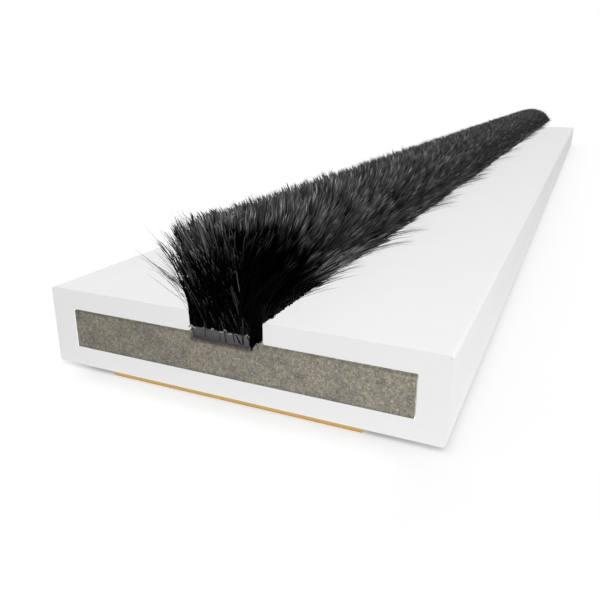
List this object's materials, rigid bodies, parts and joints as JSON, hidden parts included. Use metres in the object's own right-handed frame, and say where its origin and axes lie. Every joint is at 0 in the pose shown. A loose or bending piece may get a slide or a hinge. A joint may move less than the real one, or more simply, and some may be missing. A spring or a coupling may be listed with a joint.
{
  "type": "intumescent brush seal",
  "caption": "Flat white channel holding an intumescent bar, with a dense black brush pile fanning out of its slot and adhesive tape beneath.",
  "frame": {"origin": "middle of the underside of the release liner, on which the seal lies", "axes": "+X across the seal, +Y along it, +Z out of the slot the way the pile points"},
  "size_m": [0.02, 0.1534, 0.0087],
  "materials": {
    "white_casing": "satin extruded",
    "intumescent": "speckled matt",
    "woven_backing": "woven",
    "black_pile": "fine bristle",
    "adhesive": "matt adhesive",
    "liner": "waxed amber"
  },
  "bodies": {
    "root": {"casing": "white_casing", "intumescent_core": "intumescent", "brush_backing": "woven_backing", "brush_pile": "black_pile", "adhesive_tape": "adhesive", "release_liner": "liner"}
  },
  "joints": []
}
